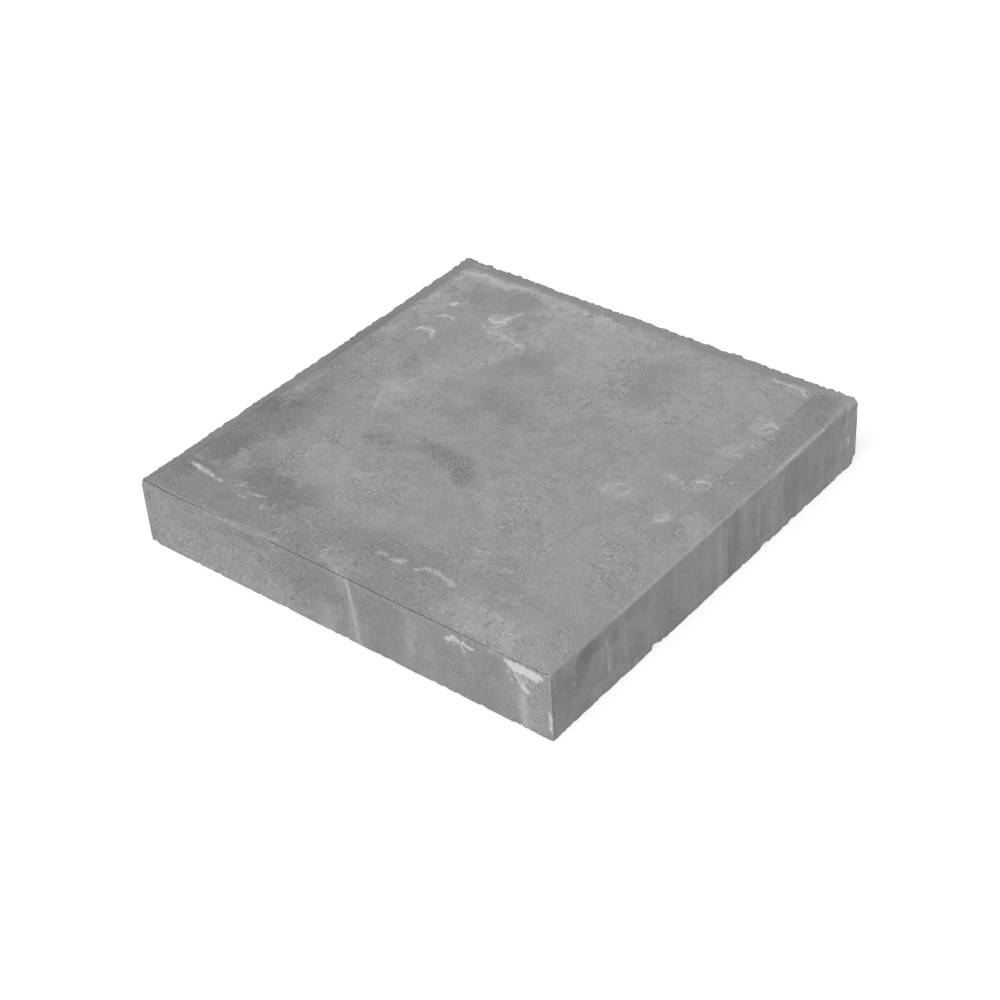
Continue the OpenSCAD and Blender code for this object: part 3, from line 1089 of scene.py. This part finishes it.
def cast_concrete(name, group, region):
    """Weathered cast concrete: mottled grey paste with sand in it, pits and pale grains, damp
    and dust with torn edges, runs down the upright faces, paler stone where it is worn, and
    the region's chalk and lime in strokes."""
    material, tree, shader = new_material(name)
    place = attribute(tree, "cast", "Vector")
    grit = attribute(tree, "grit")
    streaked = attribute(tree, "runs")

    # the patterns: sand and its clumps, fines, paste, clouds, runs, pits and pale grains
    clumps = field(moved(place, (2, 5, 40)), CLUMP_SIZE, 3.0, 0.65)
    clump = between(clumps, 0.41, 0.59, 0.4, 1.55)
    grit = product(grit, clump)
    sand = math_of("POWER", cells(place, SAND_SIZE), 2.0)
    sand = scaled(sand, 1.2, 0.1)
    fines = field(place, FINES_SIZE, 3.0, 0.7)
    paste = field(place, PASTE_SIZE, 5.0, 0.72)
    cloud = field(place, CLOUD_SIZE, 4.0, 0.6)
    leaves = field(moved(place, (7, 90, 3)), LEAF_SIZE, 3.0, 0.6)
    leaves = between(leaves, 0.48, 0.52)
    runs = field(place, RUN_SIZE, 4.0, 0.65, (1, 1, 5))
    curtains = field(moved(place, (60, 8, 0)), CURTAIN_SIZE, 3.0, 0.6, (1, 1, 8))
    curtains = between(curtains, 0.48, 0.52)
    crowd = between(field(place, CROWD_SIZE, 3.0, 0.6), 0.42, 0.58)
    pits = between(field(place, PIT_SIZE, 1.0, 0.6), 0.67, 0.75)
    pits = product(pits, between(crowd, 0, 1, 0.3, 1.0), grit)
    grains = field(moved(place, (31, 17, 5)), GRAIN_SIZE, 1.0, 0.6)
    grains = between(grains, 0.65, 0.73)
    grains = product(grains, between(crowd, 0, 1, 1.0, 0.4), grit)

    # damp and dust, with edges torn by the paste and frayed by the fines
    torn = off_middle(paste, 2.8)
    frayed = math_of("ADD", off_middle(fines, 1.6), torn)
    damp_share = between(math_of("ADD", attribute(tree, "damp_reach"), frayed), 0.2, 0.75)
    damp = scaled(product(attribute(tree, "damp"), damp_share), -1.04, 1.0)
    dust_share = between(math_of("ADD", attribute(tree, "dust_reach"), frayed), 0.2, 0.8)
    dust = scaled(attribute(tree, "dust"), dust_share, 1.0)

    # the skin's tone
    tone = product(attribute(tree, "tone"), damp, dust)
    tone = product(tone,
                   swing(sand, product(grit, SAND_SWING)),
                   swing(fines, product(clump, FINES_SWING)),
                   swing(paste, PASTE_SWING),
                   swing(cloud, CLOUD_SWING),
                   swing(leaves, LEAF_SWING),
                   swing(runs, product(streaked, RUN_SWING)),
                   swing(curtains, product(streaked, CURTAIN_SWING)))
    tone = product(tone,
                   between(pits, 0, 1, 1.0, PIT_TONE),
                   between(grains, 0, 1, 1.0, GRAIN_TONE))
    albedo = product(tone, SKIN)

    # paler stone where the skin is worn off
    worn_share = math_of("ADD", attribute(tree, "wear"), off_middle(paste, 1.4))
    worn_share = product(between(worn_share, 0.25, 0.75), 0.7)
    stone = product(swing(sand, 0.4), WORN_STONE)
    albedo = blend(albedo, stone, worn_share)

    # rubs, with a painted highlight along the right arris, then chalk and lime, which leave gaps where the
    # stroke is thin
    wander = field(place, WANDER_SIZE, 2.0, 0.9, colour=True)
    wander = vector_of("SUBTRACT", wander, (0.5, 0.5, 0.5))
    shaken = astray(place, wander, CHALK_WANDER)
    nudged = astray(place, wander, DIRT_AND_SHADE_WANDER)
    gaps = between(field(place, GAP_SIZE, 2.0, 0.65), 0.33, 0.67, 0.16, 0.85)
    rubbed = strokes(group, nudged, region, RUBS_AND_HIGHLIGHTS)
    rubbed = product(rubbed, swing(gaps, -1.6), swing(paste, 1.8))
    albedo = blend(albedo, RUBBED_SKIN_AND_HIGHLIGHT, rubbed)
    cover = strokes(group, shaken, region, CHALK)
    cover = product(cover, swing(fines, 2.6), swing(paste, 2.2))
    chalk = between(math_of("SUBTRACT", cover, gaps), -0.15, 0.15)
    coat = scaled(product(cover, cover), COAT_GAIN, THIN_COAT)
    coat = math_of("MINIMUM", coat, FULL_COAT)
    albedo = blend(albedo, LIME, product(chalk, coat))

    # the painted shadow at the mould's joint, then dirt and painted shade
    joint_shadow = strokes(group, astray(place, wander, JOINT_SHADOW_WANDER), region, JOINT_SHADOW)
    joint_shadow = product(joint_shadow, swing(paste, 2.0))
    albedo = product(albedo, between(joint_shadow, 0, 1, 1.0, JOINT_SHADOW_TONE))
    # dirt, with painted shade at the near corner of the right face
    dirt_and_shade = strokes(group, nudged, region, DIRT_AND_SHADE)
    albedo = product(albedo, between(dirt_and_shade, 0, 1, 1.0, DIRT_AND_SHADE_TONE))

    grey = add_node(tree, "CombineColor", albedo, albedo, albedo).outputs[0]
    feed(shader.inputs["Base Color"], grey)
    gloss_loss = between(attribute(tree, "tone"), 0.75, 1.0, 0.78, 0.92)
    feed(shader.inputs["Roughness"], gloss_loss)
    shader.inputs["Specular IOR Level"].default_value = 0.3

    # relief, in millimetres
    height = scaled(fines, 0.5, product(paste, 0.8))
    height = scaled(sand, product(grit, 0.05), height)
    height = scaled(pits, -0.35, height)
    height = scaled(grains, 0.12, height)
    height = scaled(product(runs, streaked), 0.5, height)
    bump = add_node(tree, "Bump")
    bump.inputs["Strength"].default_value = 1.0
    bump.inputs["Distance"].default_value = MM
    feed(bump.inputs["Height"], height)
    feed(shader.inputs["Normal"], bump.outputs[0])
    return material


# ---- stage, camera and lights

# Direction of the camera from the cap and its roll in degrees, its lens in millimetres, and in
# metres its distance from the aim point and the aim's place right of and above the middle of
# the plane of the arrises.
VIEW_AZIMUTH, VIEW_ELEVATION, VIEW_ROLL = 41.04, 36.89, -4.07
VIEW_LENS = 76.7
VIEW_DISTANCE = 1.662
AIM_RIGHT, AIM_UP = -0.0022, -0.04744

WORLD_LEVEL = 0.55
KEY_PLACE = (0.7, -2.85, 4.65)
KEY_SIZE = 2.8
KEY_POWER = 160

# Half the floor's side in millimetres, its colour, and its own light with the share seen of it.
FLOOR_REACH = 6000.0
FLOOR_GREY = 0.86
FLOOR_GLOW = 1.3
GLOW_SHARE = 0.5


def add_camera():
    """Camera that looks at the cap's near corner from above, through a long lens. It hangs at
    VIEW_DISTANCE from the aim point, turned by azimuth, elevation and a slight roll."""
    azimuth, elevation, roll = radians(VIEW_AZIMUTH), radians(VIEW_ELEVATION), radians(VIEW_ROLL)
    back = Vector((sin(azimuth) * cos(elevation), -cos(azimuth) * cos(elevation), sin(elevation)))
    right = Vector((cos(azimuth), sin(azimuth), 0))
    up = back.cross(right)
    turned_right = right * cos(roll) + up * sin(roll)
    turned_up = up * cos(roll) - right * sin(roll)
    aim = Vector((0, 0, EDGE * MM)) + turned_right * AIM_RIGHT + turned_up * AIM_UP
    camera = link(bpy.data.objects.new("camera", bpy.data.cameras.new("camera")))
    camera.data.lens = VIEW_LENS
    camera.data.sensor_width = 36
    turn = Matrix((turned_right, turned_up, back)).transposed().to_4x4()
    camera.matrix_world = Matrix.Translation(aim + back * VIEW_DISTANCE) @ turn
    bpy.context.scene.camera = camera


def add_lamp(name, place, size, power):
    """Square soft lamp that faces the middle of the cap's bed."""
    holder = link(bpy.data.objects.new(name, bpy.data.lights.new(name, "AREA")))
    holder.data.size = size
    holder.data.energy = power
    holder.location = place
    holder.rotation_euler = (-Vector(place)).to_track_quat("-Z", "Y").to_euler()


def seen_directly(tree):
    """1 for rays that show the background itself: from the camera, a gloss or a glass."""
    path = add_node(tree, "LightPath").outputs
    seen = math_of("MAXIMUM", path["Is Camera Ray"], path["Is Glossy Ray"])
    return math_of("MAXIMUM", seen, path["Is Transmission Ray"])


def add_world(light_level):
    """Even pale light from all round, which is plain white where it is seen directly."""
    world = bpy.data.worlds.new("studio")
    bpy.context.scene.world = world
    world.use_nodes = True
    background = world.node_tree.nodes["Background"]
    background.inputs["Color"].default_value = (1, 1, 1, 1)
    strength = blend(light_level, 1.0, seen_directly(world.node_tree))
    feed(background.inputs["Strength"], strength)


def add_floor():
    """Level white floor that keeps a soft shadow: half of what is seen is its own white."""
    corners = FLOOR_REACH * np.array([(-1, -1, 0), (1, -1, 0), (1, 1, 0), (-1, 1, 0)])
    floor = mesh_object("floor", corners, np.array([[0, 1, 2, 3]]))
    material, tree, shader = new_material("white_floor")
    shader.inputs["Base Color"].default_value = (FLOOR_GREY, FLOOR_GREY, FLOOR_GREY, 1)
    shader.inputs["Roughness"].default_value = 1.0
    shader.inputs["Specular IOR Level"].default_value = 0.0
    glow = add_node(tree, "Emission")
    glow.inputs["Strength"].default_value = FLOOR_GLOW
    glow_share = product(seen_directly(tree), GLOW_SHARE)
    mix = add_node(tree, "MixShader", glow_share, shader.outputs[0], glow.outputs[0])
    feed(tree.nodes["Material Output"].inputs["Surface"], mix.outputs[0])
    floor.data.materials.append(material)


# ---- the scene

add_camera()
add_world(WORLD_LEVEL)
add_lamp("key", KEY_PLACE, KEY_SIZE, KEY_POWER)
add_floor()

cap = make_cap()
stroke = stroke_group()
for region_name, region in regions().items():
    cap.data.materials.append(cast_concrete("concrete_" + region_name, stroke, region))
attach(cap, "root")
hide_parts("cap")

bpy.context.scene.view_settings.view_transform = "Standard"
